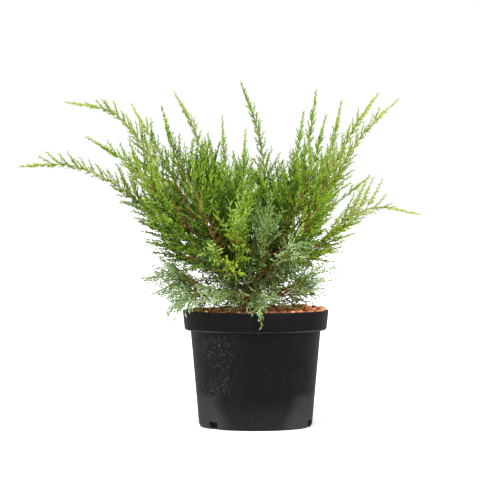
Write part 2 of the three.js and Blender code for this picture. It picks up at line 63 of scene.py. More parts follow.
# The colour of the dust, which also paints the reflection of the floor and the highlight under the rim.
DUST_AND_REFLECTION_TONE = (114, 113, 114)
SCUFF_TONE = (120, 120, 118)
DROP_TONE = (158, 160, 162)
DROP_SCALE = 800
# The top of the painted reflection of the floor round the foot, in metres.
REFLECTION_BAND_TOP = 0.058


class Reading:
    """A number read over a surface. Sums with it add Math nodes to its material."""

    def __init__(self, nodes, socket):
        self.nodes = nodes
        self.socket = socket

    def sum(self, operation, *numbers):
        return self.nodes.node("ShaderNodeMath", dict(enumerate(numbers)), operation=operation)

    def __add__(self, other):
        return self.sum("ADD", self, other)

    def __sub__(self, other):
        return self.sum("SUBTRACT", self, other)

    def __rsub__(self, other):
        return self.sum("SUBTRACT", other, self)

    def __mul__(self, other):
        return self.sum("MULTIPLY", self, other)

    def between(self, low, high):
        """0 below low and 1 above high, smooth between them. It falls where low is the greater."""
        ends = {"Value": self, "From Min": low, "From Max": high}
        return self.nodes.node("ShaderNodeMapRange", ends, interpolation_type="SMOOTHSTEP")


class Nodes:
    """The nodes of a material or of the sky."""

    def __init__(self, owner):
        owner.use_nodes = True
        self.tree = owner.node_tree

    def plug(self, node, socket, value):
        if isinstance(value, Reading):
            self.tree.links.new(value.socket, node.inputs[socket])
        else:
            node.inputs[socket].default_value = value

    def node(self, kind, sockets, out=0, **settings):
        made = self.tree.nodes.new(kind)
        for name, value in settings.items():
            setattr(made, name, value)
        for socket, value in sockets.items():
            self.plug(made, socket, value)
        return Reading(self, made.outputs[out])


class Finish(Nodes):
    """A material of one Principled shader, with its plain values. Its patterns come from its nodes."""

    def __init__(self, name, colour, roughness, specular=0.5):
        self.material = bpy.data.materials.new(name)
        super().__init__(self.material)
        self.material.diffuse_color = colour
        self.shader = self.tree.nodes["Principled BSDF"]
        self.wear("Base Color", colour)
        self.wear("Roughness", roughness)
        self.wear("Specular IOR Level", specular)

    def wear(self, socket, value):
        self.plug(self.shader, socket, value)

    def place(self):
        return self.node("ShaderNodeTexCoord", {}, out=3)

    def stretched(self, place, scale):
        return self.node("ShaderNodeMapping", {"Vector": place, "Scale": scale})

    def grain(self, place, scale, detail=2.0):
        return self.node("ShaderNodeTexNoise", {"Vector": place, "Scale": scale, "Detail": detail})

    def cells(self, place, scale, out=0):
        """How far each place is from its cell's middle, or for out 1 the cell's own tone."""
        return self.node("ShaderNodeTexVoronoi", {"Vector": place, "Scale": scale}, out)

    def axis(self, place, out):
        """A place's distance in metres along X, Y or Z, for out 0, 1 or 2."""
        return self.node("ShaderNodeSeparateXYZ", {0: place}, out)

    def blend(self, share, first, second):
        return self.node("ShaderNodeMix", {0: share, 6: first, 7: second}, out=2, data_type="RGBA")

    def relief(self, height, strength, depth):
        sockets = {"Height": height, "Strength": strength, "Distance": depth * MM}
        self.wear("Normal", self.node("ShaderNodeBump", sockets))


def paint(red, green, blue):
    """A colour given from 0 to 255 as it shows, as the shader takes it."""
    shares = [value / 255 for value in (red, green, blue)]
    linear = [share / 12.92 if share <= 0.04045 else ((share + 0.055) / 1.055) ** 2.4 for share in shares]
    return (*linear, 1)


def begun(name, add, **size):
    """A primitive, alone selected and opened to be shaped."""
    bpy.ops.object.select_all(action="DESELECT")
    add(**size)
    piece = bpy.context.object
    piece.name = name
    piece.data.name = name
    bpy.ops.object.mode_set(mode="EDIT")
    bpy.ops.mesh.select_mode(type="FACE")
    return piece


def begun_disc(name, sides, radius, height=0):
    size = {"vertices": sides, "radius": radius, "location": (0, 0, height), "fill_type": "NGON"}
    return begun(name, bpy.ops.mesh.primitive_circle_add, **size)


def shaped():
    bpy.ops.object.mode_set(mode="OBJECT")


def draw_up(rise, widening=1):
    bpy.ops.mesh.extrude_region_move(TRANSFORM_OT_translate={"value": (0, 0, rise)})
    bpy.ops.transform.resize(value=(widening, widening, 1), center_override=(0, 0, 0))


def draw_out(outline, radius, height):
    """The selected end face is drawn through an outline of radii and heights."""
    for next_radius, next_height in outline:
        draw_up((next_height - height) * MM, next_radius / radius)
        radius, height = next_radius, next_height


def shade_smooth(piece, sharpest):
    bpy.ops.object.select_all(action="DESELECT")
    piece.select_set(True)
    bpy.context.view_layer.objects.active = piece
    bpy.ops.object.shade_smooth_by_angle(angle=math.radians(sharpest))


def apply_modifier(piece, kind, **settings):
    bpy.context.view_layer.objects.active = piece
    modifier = piece.modifiers.new(kind, kind)
    for name, value in settings.items():
        setattr(modifier, name, value)
    bpy.ops.object.modifier_apply(modifier=kind)


def finish_piece(piece, finishes, slot, *nodes):
    """The piece wears its finishes, stands for its nodes and rides on the plant."""
    for finish in finishes:
        piece.data.materials.append(finish.material)
    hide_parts(*nodes)
    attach(piece, "root")


def make_pot():
    pot = begun_disc("pot_shell", POT_SIDES, POT_FOOT * MM)
    draw_out(POT_BODY + POT_RIM + POT_LIP + POT_INSIDE, POT_FOOT, 0)
    bpy.ops.mesh.select_all(action="DESELECT")
    shaped()
    for face in pot.data.polygons:
        face.select = face.normal.z < 0 and face.center.length < MM
    bpy.ops.object.mode_set(mode="EDIT")
    bpy.ops.mesh.inset(thickness=UNDERSIDE_RING * MM)
    draw_up(UNDERSIDE_RECESS * MM)
    shaped()
    apply_modifier(pot, "BEVEL", width=MOULD_ROUND * MM, segments=2, limit_method="ANGLE", angle_limit=0.35)
    for bearing in SLOT_BEARINGS:
        angle = math.radians(bearing)
        middle = (SLOT_RADIUS * MM * math.cos(angle), SLOT_RADIUS * MM * math.sin(angle), 0)
        block = {"size": 1, "location": middle, "rotation": (0, 0, angle), "scale": SLOT_SIZE}
        cutter = begun("slot_cutter", bpy.ops.mesh.primitive_cube_add, **block)
        shaped()
        bpy.ops.object.transform_apply(location=True, rotation=True, scale=True)
        apply_modifier(cutter, "BEVEL", width=SLOT_ROUND * MM, segments=2)
        apply_modifier(pot, "BOOLEAN", object=cutter, operation="DIFFERENCE")
        bpy.data.objects.remove(cutter)
    shade_smooth(pot, 30)
    return pot


def pot_plastic():
    black = paint(*PLASTIC_TONE)
    plastic = Finish("pot_plastic", black, 0.3, specular=0.28)
    place = plastic.place()
    across = plastic.axis(place, 0)
    height = plastic.axis(place, 2)
    off_middle = across.sum("ABSOLUTE", across)
    clouds = plastic.grain(place, 14, 4.0)

    # Dried drops, thick on the left and thin on the right, above the foot and along its edge.
    sides = across.between(-0.014, -0.064) * 0.85 + across.between(0.05, 0.07) * 0.3 + 0.05
    splashed = sides * height.between(0.1495, 0.1475) * (height.between(0.045, 0.062) * 0.8 + 0.2)
    splashed = splashed + height.between(0.007, 0.003) * 0.5
    drops = plastic.cells(place, DROP_SCALE).between(0.36, 0.14)
    drops = drops * plastic.cells(place, DROP_SCALE, out=1).between(0.5, 0.78)
    drops = drops * splashed * (clouds.between(0.36, 0.56) * 0.8 + 0.2)

    # Scuffs, in patches.
    scuffs = plastic.grain(plastic.stretched(place, (1, 1, 2.5)), 190, 5.0).between(0.66, 0.74)
    scuffs = scuffs * plastic.grain(place, 34).between(0.52, 0.66) * 0.3

    # Dust in streaks and on the left, lighter towards the floor in clouds, and a painted reflection of the
    # floor round the foot that leaves the front clear. The ledge under the rim has dust all round and a
    # painted highlight.
    streaks = plastic.grain(plastic.stretched(place, (1, 1, 0.12)), 160, 3.0)
    dusty_side = across.between(0.01, -0.075) * height.between(0.151, 0.149)
    near_floor = height.between(0.056, 0.004) * (clouds * 0.5 + 0.5)
    front = plastic.axis(place, 1).between(-0.02, -0.06)
    inward = off_middle + height.between(0.05, 0) * 0.016
    # Painted reflection of the floor round the foot, clear of the front.
    floor_reflection = height.between(REFLECTION_BAND_TOP, REFLECTION_BAND_TOP - 0.011) * (1 - inward.between(0.074, 0.05) * front)
    dust_and_reflection = streaks.between(0.5, 0.75) * 0.012 + dusty_side * 0.014 + near_floor * 0.06 + floor_reflection * 0.12
    # Under the rim: dust all round, and a painted highlight towards the sides.
    ledge_dust_and_highlight = height.between(0.1505, 0.152) * height.between(0.1545, 0.153)
    dust_and_reflection = dust_and_reflection + ledge_dust_and_highlight * (off_middle.between(0.03, 0.085) * 0.25 + 0.1)

    # The dust colour paints the dust, the painted reflection and the painted highlight.
    dusted_and_reflecting = plastic.blend(dust_and_reflection, black, paint(*DUST_AND_REFLECTION_TONE))
    scuffed = plastic.blend(scuffs, dusted_and_reflecting, paint(*SCUFF_TONE))
    plastic.wear("Base Color", plastic.blend(drops, scuffed, paint(*DROP_TONE)))
    plastic.wear("Roughness", clouds * 0.14 + dust_and_reflection * 0.5 + drops * 0.4 + 0.24)
    plastic.relief(plastic.grain(place, 420) * 0.3 + drops, 0.25, 0.2)
    return plastic


finish_piece(make_pot(), [pot_plastic()], "pot_plastic", "pot")


# The compost and its mulch. The root ball's peat fills the pot and crumbles at the slots. Chips of pine bark,
# torn to any shape and rust to dark brown, are heaped on it to just under the lip.
SOIL_LEVEL = 173.7
SOIL_SIDES = 72
SOIL_FOOT = 81.4
SOIL_BASE = 3
SOIL_OUTSIDE = [(86.6, 8.2), (99.9, WAIST + 2.5), (107.6, WAIST + 3.5), (111.2, SOIL_LEVEL)]
SOIL_RINGS = 12
SOIL_HEAVE = 1.6
CHIP_COUNT = 2200
CHIP_SHAPES = 5
CHIP_NARROWING = 0.35
CHIP_SIZES = (5, 15)
CHIP_REACH = 108
CHIP_HEAP = 3.5
CHIP_HEAP_FAR = 8.5
CHIP_HEAP_BEARING = 50
CHIP_TONES = {
    "chip_rust": (250, 160, 106),
    "chip_brown": (236, 150, 102),
    "chip_dark": (190, 116, 80),
    "chip_tan": (250, 190, 138),
}
TRUNK_FOOT = Vector((-12, 4, 174.8))
TRUNK_ROOM = 13


def make_root_ball():
    soil = begun_disc("root_ball", SOIL_SIDES, SOIL_FOOT * MM, SOIL_BASE * MM)
    draw_out(SOIL_OUTSIDE, SOIL_FOOT, SOIL_BASE)
    for _ in range(SOIL_RINGS):
        bpy.ops.mesh.inset(thickness=SOIL_OUTSIDE[-1][0] / (SOIL_RINGS + 1) * MM)
    shaped()
    for corner in soil.data.vertices:
        if corner.co.z > (SOIL_LEVEL - 1) * MM:
            corner.co.z += SOIL_HEAVE * MM * noise.noise(corner.co / MM / 11)
        elif corner.co.z > (SOIL_BASE + 1) * MM:
            corner.co.xy *= 1 - 0.006 * abs(noise.noise(corner.co / MM / 5))
    return soil


def compost():
    dark = paint(34, 24, 18)
    peat = Finish("compost", dark, 0.95, specular=0.2)
    place = peat.place()
    crumbs = peat.cells(place, 260)
    # The brown tones show only on top. Below, the peat stays near black as painted shade where it shows in
    # the slots.
    on_top = peat.axis(place, 2).between(0.16, 0.17)
    tones = peat.blend(peat.grain(place, 90, 4.0) * on_top, dark, paint(150, 84, 48))
    peat.wear("Base Color", peat.blend(crumbs.between(0.3, 0.75), tones, paint(30, 18, 12)))
    peat.relief(peat.grain(place, 300, 5.0) - crumbs, 0.9, 1.6)
    return peat


def bark_chip(name, tone):
    chip = Finish(name, tone, 0.9, specular=0.25)
    place = chip.place()
    fibres = chip.grain(chip.stretched(place, (1, 0.3, 1)), 420, 4.0)
    shade = (*(share * 0.7 for share in tone[:3]), 1)
    chip.wear("Base Color", chip.blend(fibres.between(0.35, 0.7), shade, tone))
    chip.relief(fibres, 0.6, 0.5)
    return chip


def corners_and_faces(piece):
    """A piece's corners and its faces as triangles. The piece itself is put away."""
    shaped()
    bpy.ops.object.transform_apply(location=True, rotation=True, scale=True)
    mesh = piece.data
    mesh.calc_loop_triangles()
    corners = np.array([corner.co for corner in mesh.vertices])
    faces = np.array([triangle.vertices for triangle in mesh.loop_triangles])
    bpy.data.objects.remove(piece)
    return corners, faces


def copies(corners, faces, axes, centres):
    """A shape's corners along each three axes from each centre, and its faces repeated for them."""
    places = np.einsum("vk,nkj->nvj", corners, axes) + centres[:, None]
    steps = np.arange(len(centres))[:, None, None] * len(corners)
    return places.reshape(-1, 3), (faces[None] + steps).reshape(-1, 3)


def placed(name, data):
    """A new object in the scene, of a mesh, light or camera."""
    made = bpy.data.objects.new(name, data)
    bpy.context.collection.objects.link(made)
    return made


def joined_piece(name, parts):
    """One mesh from parts of corners, triangles and the number of each triangle's finish."""
    starts = np.cumsum([0] + [len(corners) for corners, _, _ in parts])
    corners = np.concatenate([part[0] for part in parts]) * MM
    faces = np.concatenate([part[1] + start for part, start in zip(parts, starts)])
    worn = np.concatenate([np.broadcast_to(part[2], len(part[1])) for part in parts])
    mesh = bpy.data.meshes.new(name)
    mesh.vertices.add(len(corners))
    mesh.vertices.foreach_set("co", corners.ravel())
    mesh.loops.add(faces.size)
    mesh.loops.foreach_set("vertex_index", faces.ravel())
    mesh.polygons.add(len(faces))
    mesh.polygons.foreach_set("loop_start", np.arange(0, faces.size, 3))
    mesh.polygons.foreach_set("material_index", worn.astype(np.int32))
    mesh.update(calc_edges=True)
    mesh.validate()
    return placed(name, mesh)


def chip_shape(number):
    """A torn flake about as long as 1, with one end narrower."""
    flake = begun("flake", bpy.ops.mesh.primitive_cube_add, size=1, scale=(1, 0.5, 0.26))
    bpy.ops.mesh.subdivide(number_cuts=1)
    bpy.ops.transform.vertex_random(offset=0.13, seed=number)
    corners, faces = corners_and_faces(flake)
    corners[:, 1:] *= 1 - CHIP_NARROWING * corners[:, :1]
    return corners, faces


def make_mulch():
    rng = np.random.default_rng(7)
    parts = []
    for number in range(CHIP_SHAPES):
        corners, faces = chip_shape(number)
        count = CHIP_COUNT // CHIP_SHAPES
        bearing = rng.uniform(0, 2 * math.pi, count)
        reach = CHIP_REACH * np.sqrt(rng.uniform(0, 1, count))
        far = reach * np.cos(bearing - math.radians(CHIP_HEAP_BEARING)) / CHIP_REACH
        heap = CHIP_HEAP + CHIP_HEAP_FAR * np.clip(far + 0.3, 0, 1)
        height = SOIL_LEVEL + 1 + rng.uniform(-0.1, 1, count) * heap
        centres = np.stack([reach * np.cos(bearing), reach * np.sin(bearing), height], axis=1)
        clear = np.hypot(centres[:, 0] - TRUNK_FOOT.x, centres[:, 1] - TRUNK_FOOT.y) > TRUNK_ROOM
        turn = rng.uniform(0, 2 * math.pi, count)
        tilt = np.radians(rng.normal(0, 20, count))
        size = np.minimum(rng.uniform(*CHIP_SIZES, count), 2 * (CHIP_REACH + 3 - reach) + 3)
        along = np.stack([np.cos(turn) * np.cos(tilt), np.sin(turn) * np.cos(tilt), np.sin(tilt)], axis=1)
        across = np.stack([-np.sin(turn), np.cos(turn), np.zeros(count)], axis=1)
        axes = np.stack([along, across, np.cross(along, across)], axis=1) * size[:, None, None]
        for tone in range(len(CHIP_TONES)):
            chosen = clear & (np.arange(count) % len(CHIP_TONES) == tone)
            parts.append((*copies(corners, faces, axes[chosen], centres[chosen]), tone))
    return joined_piece("bark_mulch", parts)


finish_piece(make_root_ball(), [compost()], "bark_mulch", "substrate")
chip_finishes = [bark_chip(name, paint(*tone)) for name, tone in CHIP_TONES.items()]
finish_piece(make_mulch(), chip_finishes, "bark_mulch", "substrate")


# The trunk and its boughs. The trunk leans from a flared foot, and the boughs rise from it and bend outwards.
# The bark is thin and red-brown, splits along the limb, and peels in grey strips.
TRUNK_TOP = (10, 8, 104)
TRUNK_RADII = (8, 5)
ROOT_FLARE = 6
FLARE_HEIGHT = 9
# The height of each bough's root on the trunk, its tip, the slope it leaves at, and its radius at the root.
BOUGHS = {
    "left_high": (54, (-62, -16, 122), 52, 5.4),
    "left_long": (35, (-80, -6, 84), 38, 5),
    "left_mid": (70, (-46, -42, 96), 20, 4.4),
    "centre_back": (92, (-14, 30, 126), 40, 4.4),
    "right_high": (46, (52, -2, 104), 46, 5.4),
    "right_back": (76, (34, 40, 110), 38, 4.6),
    "right_mid": (82, (48, -36, 102), 20, 4.2),
    "right_long": (27, (64, -12, 86), 38, 4.6),
    "front_mid": (44, (-20, -46, 72), 30, 4.2),
    "front_right": (58, (26, -52, 66), 5, 4.2),
    "low_left": (16, (-58, -10, 34), 20, 3.8),
    "low_right": (13, (50, -24, 34), 26, 3.8),
    "front_low": (22, (2, -56, 30), 8, 3.6),
    "back_mid": (64, (2, 60, 100), 36, 4.4),
    "back_left": (48, (-52, 52, 88), 38, 4.6),
    "back_right": (36, (50, 52, 78), 38, 4.6),
    "back_low": (24, (-6, 60, 38), 14, 3.8),
}
BOUGH_TIP_RADIUS = 3
BOUGH_HOLD = 0.5
ROD_SIDES = 22
ROD_STEPS = 34
ROD_DOME = 900
# What stands out on a limb, as strips, flakes and knots: how close they lie round it, how long they are, how
# far on they lie from limb to limb, and how far they stand out as a share of its radius.
BARK_RELIEF = [(2.6, 26, 9, 0.13), (5, 9, 5, 0.06), (0.8, 15, 3, 0.08)]
UP = Vector((0, 0, 1))


def place_of(place):
    return Vector(place) + TRUNK_FOOT


def part_way(ends, share):
    """The number a share of the way from one end to the other."""
    return ends[0] + (ends[1] - ends[0]) * share


def turned(first, second, degrees):
    """The direction an angle on from the first of two square ones, towards the second."""
    angle = np.radians(degrees)
    return first * np.cos(angle) + second * np.sin(angle)


def slanting(span, slope):
    """The direction that slopes up by an angle, over a span's bearing."""
    return turned(Vector((span.x, span.y, 0)).normalized(), UP, slope)


def square_to(direction, second):
    """A vector square to a direction, in its plane with a second one."""
    side = second - direction * second.dot(direction)
    return side.normalized() if side.length_squared > 1e-6 else square_to(direction, Vector((1, 0.3, 0)))


def bending(start, bend, end):
    """The four corners of the curve that leaves its start towards its bend."""
    return [start, start.lerp(bend, 2 / 3), end.lerp(bend, 2 / 3), end]


def unit(rows):
    """Each row at a length of 1."""
    return rows / np.linalg.norm(rows, axis=1, keepdims=True)


def along_curve(corners, shares):
    """The places and headings at shares of a curve's way."""
    first, second, third, last = (np.array(corner) for corner in corners)
    on = np.asarray(shares, dtype=float)[:, None]
    left = 1 - on
    places = left**3 * first + 3 * left**2 * on * second + 3 * left * on**2 * third + on**3 * last
    slopes = left**2 * (second - first) + 2 * left * on * (third - second) + on**2 * (last - third)
    return places, unit(slopes)


def at(corners, share):
    places, headings = along_curve(corners, [share])
    return Vector(places[0]), Vector(headings[0])


def trunk_curve():
    return bending(TRUNK_FOOT.copy(), TRUNK_FOOT + UP * TRUNK_TOP[2] * 0.5, place_of(TRUNK_TOP))


def bough_curve(root, tip, rise):
    start, _ = at(trunk_curve(), root / TRUNK_TOP[2])
    end = place_of(tip)
    span = end - start
    return bending(start, start + slanting(span, rise) * BOUGH_HOLD * span.length, end)


def make_rod():
    """A straight rod, 1 long and of radius 1, in even steps, with a domed top."""
    rod = begun_disc("rod", ROD_SIDES, 1)
    for _ in range(ROD_STEPS):
        draw_up(1 / ROD_STEPS)
    for narrowing in (0.8, 0.5, 0.1):
        draw_up(0.001, narrowing)
    shaped()
    return rod


def level_axes(headings):
    """Two axes square to each heading, turned as little as can be from one to the next."""
    side = square_to(Vector(headings[0]), Vector(headings[-1]).cross(Vector(headings[0])))
    sides = []
    for heading in headings:
        side = square_to(Vector(heading), side)
        sides.append(side)
    sides = np.array(sides)
    return sides, np.cross(headings, sides)


def grow_limb(rod, name, curve, radius_at, number):
    """A copy of the rod bent along a curve, with bark standing out along it."""
    limb = placed(name, rod.data.copy())
    limb.data.name = name
    x, y, along = np.array([corner.co for corner in limb.data.vertices]).T[:, :, None]
    shares = np.minimum(along[:, 0], 1)
    stages, stage = np.unique(np.round(shares, 5), return_inverse=True)
    middles, headings = along_curve(curve, stages)
    sides, others = level_axes(headings)
    length = np.linalg.norm(np.diff(middles, axis=0), axis=1).sum()
    radius = np.array([[radius_at(share)] for share in shares])
    relief = 1
    for close, long, shift, share in BARK_RELIEF:
        lies = np.hstack([x * close, y * close, along * length / long + number * shift])
        relief += share * np.array([[noise.noise(lie)] for lie in lies])
    domed = (along - shares[:, None]) * ROD_DOME * radius
    bent = middles[stage] + (sides[stage] * x + others[stage] * y) * radius * relief + headings[stage] * domed
    lie = np.hstack([x * radius, y * radius, along * length])
    limb.data.vertices.foreach_set("co", (bent * MM).ravel())
    told = limb.data.attributes.new("bark_lie", "FLOAT_VECTOR", "POINT")
    told.data.foreach_set("vector", (lie * MM + number).ravel())
    limb.data.update()
    shade_smooth(limb, 50)
    return limb


def juniper_bark():
    bark = Finish("juniper_bark", paint(128, 80, 54), 0.85, specular=0.3)
    lie = bark.node("ShaderNodeAttribute", {}, out=1, attribute_name="bark_lie")
    strips = bark.grain(bark.stretched(lie, (1, 1, 0.14)), 420, 4.0)
    splits = bark.grain(bark.stretched(lie, (1, 1, 0.09)), 760, 3.0)
    patches = bark.grain(lie, 60, 3.0)
    worn = bark.blend(strips.between(0.42, 0.68), paint(84, 50, 34), paint(160, 104, 70))
    peeled = bark.blend(patches.between(0.52, 0.66) * 0.6, worn, paint(150, 128, 108))
    bark.wear("Base Color", bark.blend(splits.between(0.44, 0.32), peeled, paint(44, 22, 14)))
    bark.relief(strips * 0.7 + splits * 0.5, 0.8, 0.9)
    return bark


rod = make_rod()
bark_finish = juniper_bark()


def trunk_radius(share):
    return part_way(TRUNK_RADII, share) + ROOT_FLARE * math.exp(-share * TRUNK_TOP[2] / FLARE_HEIGHT)


def bough_taper(thickness):
    return lambda share: part_way((thickness, BOUGH_TIP_RADIUS), share)


limb_curves = {"trunk": (trunk_curve(), trunk_radius)}
for bough, (root, tip, rise, thickness) in BOUGHS.items():
    limb_curves[f"bough_{bough}"] = (bough_curve(root, tip, rise), bough_taper(thickness))
for number, (node, (curve, radius_at)) in enumerate(limb_curves.items()):
    limb = grow_limb(rod, f"limb_{node}", curve, radius_at, number)
    finish_piece(limb, [bark_finish], "bark", node)
bpy.data.objects.remove(rod)


# The shoots. Leading shoots grow on from the boughs' tips, with side twigs all round and all the way up. They
# are brown where they are old, then orange, and yellow-green where they grew this year.
# Each mass of foliage: its bough, its tip, the slope it arrives with, the length of its longest side twigs,
# the whip's share of it, how far its twigs turn up, and the colour of its age.
MASSES = {
    "left_crest": ("left_high", (-282, -60, 333), 8, 84, 0.3, 0.5, "fresh"),
    "left_spire": ("left_high", (-184, 15, 332), 58, 84, 0.3, 0.3, "fresh"),
    "left_plume": ("left_high", (-134, -45, 325), 74, 86, 0.2, 0.3, "green"),
    "left_whip": ("left_long", (-356, -25, 234), -4, 88, 0.4, 0.7, "fresh"),
    "left_fan": ("left_long", (-148, -46, 112), -4, 74, 0, 0.1, "green"),
    "left_brush": ("left_mid", (-246, -115, 277), 30, 94, 0.15, 0.6, "fresh"),
    "left_tower": ("left_mid", (-87, -95, 269), 84, 88, 0.1, 0.3, "green"),
    "back_whip": ("centre_back", (-118, 100, 355), 56, 81, 0.3, 0.3, "fresh"),
    "centre_spire": ("centre_back", (-41, 72, 314), 86, 76, 0.3, 0.3, "green"),
    "centre_plume": ("centre_back", (-4, 4, 292), 84, 88, 0.1, 0.3, "fresh"),
    "right_crest": ("right_high", (238, 20, 341), 43, 89, 0.3, 0.4, "fresh"),
    "right_brush": ("right_high", (202, -48, 347), 54, 84, 0.3, 0.3, "fresh"),
    "right_tower": ("right_high", (106, -26, 350), 82, 81, 0.3, 0.3, "green"),
    "centre_whip": ("right_back", (-11, 66, 370), 66, 84, 0.4, 0.2, "green"),
    "right_spire": ("right_back", (91, 112, 325), 76, 78, 0.3, 0.3, "green"),
    "right_plume": ("right_back", (151, 78, 341), 78, 80, 0.3, 0.3, "fresh"),
    "front_tower": ("right_mid", (119, -98, 310), 72, 81, 0.15, 0.3, "green"),
    "right_tuft": ("right_mid", (156, -108, 207), 30, 80, 0.1, 0.4, "green"),
    "right_whip": ("right_long", (267, -30, 159), -12, 88, 0.15, 0.9, "fresh"),
    "right_rise": ("right_long", (192, 22, 218), 38, 58, 0.3, 0.4, "fresh"),
    "front_plume": ("front_mid", (-15, -165, 190), 60, 90, 0, 0.4, "fresh"),
    "front_fan": ("front_mid", (-58, -172, 92), 0, 90, 0, 0.2, "fresh"),
    "front_dome": ("front_right", (26, -160, 168), 46, 86, 0, 0.3, "sea"),
    "front_skirt": ("front_right", (86, -168, 92), -8, 90, 0, 0.2, "sea"),
    "low_left_fan": ("low_left", (-153, -30, 104), 40, 100, 0, 0.2, "sea"),
    "low_left_droop": ("low_left", (-156, 16, 30), -24, 98, 0, -0.2, "sea"),
    "low_left_trail": ("low_left", (-118, -62, -14), -62, 72, 0.1, -0.5, "green"),
    "low_right_fan": ("low_right", (143, -60, 58), 6, 90, 0, 0.1, "sea"),
    "low_right_skirt": ("low_right", (116, -8, 26), -24, 92, 0, -0.1, "sea"),
    "low_right_tuft": ("low_right", (124, 8, 88), 36, 84, 0, 0.2, "sea"),
    "front_trail": ("front_low", (20, -142, -14), -66, 50, 0, -0.5, "sea"),
    "front_hem": ("front_low", (-84, -108, 40), 0, 88, 0, 0, "sea"),
    "back_plume": ("back_mid", (6, 226, 252), 38, 84, 0.2, 0.4, "fresh"),
    "back_crest": ("back_mid", (-66, 178, 292), 66, 81, 0.15, 0.3, "green"),
    "back_left_whip": ("back_left", (-188, 206, 236), 34, 84, 0.25, 0.4, "fresh"),
    "back_left_fan": ("back_left", (-140, 130, 146), 8, 70, 0, 0.2, "green"),
    "back_right_whip": ("back_right", (160, 206, 238), 44, 84, 0.2, 0.4, "fresh"),
    "back_right_fan": ("back_right", (112, 138, 112), 4, 70, 0, 0.2, "sea"),
    "back_fan": ("back_low", (-34, 172, 76), 14, 82, 0, 0.1, "sea"),
    "back_skirt": ("back_low", (62, 150, 34), -14, 76, 0, 0, "sea"),
}
NUMBERS = {name: number for number, name in enumerate([*MASSES, *BOUGHS], start=1)}
STEM_RADII = (1.7, 0.7)
STEM_TUBE = {"sides": 7, "rings": 26}
STEM_MARKS = 13
# A shoot's ages at its foot and its end, from 0 where it is brown to 3 where it is green.
STEM_AGES = (-0.2, 3.6)
STEM_ROOT = 3.2
FAN_ANGLE = 38
STEM_SEAT = 1.3
STEM_SPREAD = 2.1
STEM_START = 0.2
STEM_ARRIVAL = 0.3
LAST_SPRAY = 0.55
LAST_FROM = 0.94
STATION_PITCH = 6.4
# How far up a shoot it bears finer twigs between its stations, and how much those hang.
HIGH_BETWEEN = (0.9, 0)
OPEN_BETWEEN = (0.65, 0)
OPEN_BOUGH = "right_long"
LOW_BETWEEN = (0.75, 0.8)
TRAILING_BETWEEN = (0.8, 1.2)
TRAILING = ["low_left_trail", "low_left_droop", "front_hem"]
HANG_LENGTH = 30
LOW_TIP = 120
STATION_TURN = 165.8
FEWEST_STATIONS = 8
OPENINGS = (84, 30)
OPEN_SPREAD = 12
MASS_TURN = 77
# How long side twigs are up a mass, as a share of the longest, and on its whip.
MASS_OUTLINE = ([0, 0.3, 1], [0.85, 1, 0.35])
WHIP_FULLNESS = 0.2
TWIG_SHARE = 0.55
TWIG_BEND = 0.25
TWIG_VIGOUR = (0.8, 1.2)
TWIG_SKYWARD = 0.55
TWIG_FORWARD = 0.4
TWIG_TUBE = {"sides": 4, "rings": 6}
TWIG_FOOT_AGES = (0.9, 2.5)
TWIG_TESTS = [0.4, 0.65, 0.9]
LIMB_MARKS = 15
LIMB_CLEARANCE = 1.2
POT_CLEARANCE = ([0, WAIST, WAIST + 1, POT_HEIGHT], [90, 103.5, 113.5, 116.2])
CLAD_RADIUS = 0.75
SPRAY_ROLL = 130
# What a side twig with no room may do: grow to a share of its length, at a turn round its shoot.
TWIG_CHOICES = [(share, turn) for share in (1, 0.85, 0.7, 0.55) for turn in (0, 45, -45, 90, -90)]


def chance(owner, place, draw):
    """A number from 0 to 1 that depends only on what it is drawn for."""
    wave = math.sin(owner * 12.9898 + place * 78.233 + draw * 37.719) * 43758.5453
    return wave - math.floor(wave)


def swing(reach, *drawn_for):
    return reach * (chance(*drawn_for) - 0.5)


def bough_line(bough):
    return limb_curves[f"bough_{bough}"][0]


def masses_on(bough):
    return {name: mass for name, mass in MASSES.items() if mass[0] == bough}


def stem_curve(bough, tip, arrive, longest):
    """A mass's leading shoot. The shoots on one bough fan out from its tip."""
    bough_end, axis = at(bough_line(bough), 1)
    tips = [place_of(mass[1]) for mass in masses_on(bough).values()]
    middle = sum(tips, Vector()) / len(tips)
    apart = square_to(axis, place_of(tip) - middle)
    start = bough_end + axis * STEM_SEAT + apart * STEM_SPREAD
    span = place_of(tip) - start
    arrival = slanting(span, arrive)
    end = place_of(tip) - arrival * LAST_SPRAY * longest
    away = start + turned(axis, apart, FAN_ANGLE) * STEM_START * span.length
    return [start, away, end - arrival * STEM_ARRIVAL * span.length, end]


def way_out(curve, along, around):
    """The place a share of the way up a shoot, the heading there, and the way out at a turn round it."""
    start, tangent = at(curve, along)
    level = square_to(tangent, tangent.cross(UP))
    return start, tangent, turned(level, level.cross(tangent), around)


def leaning_twig(start, tangent, outward, opening, lift, length):
    """A twig's curve, and its heading past its bend, where it turns forward and up, or hangs."""
    heading = turned(tangent, outward, opening)
    ending = (heading + tangent * TWIG_FORWARD + UP * lift).normalized()
    bend = start + heading * TWIG_BEND * length
    end = bend + ending * (1 - TWIG_BEND) * length
    return [start, bend, bend.lerp(end, 0.35), end], ending


def twig_facts(curve, ending, length, radius, up_stem, number, station, draw):
    """What a twig's tube and its spray go by. The spray's flat side looks more or less to the front."""
    front = square_to(ending, Vector((0, -1, 0)))
    return {
        "curve": curve,
        "length": length,
        "face": turned(front, ending.cross(front), swing(SPRAY_ROLL, number, station, draw)),
        "radius": radius,
        "up_stem": up_stem,
        "number": number,
        "station": station,
    }


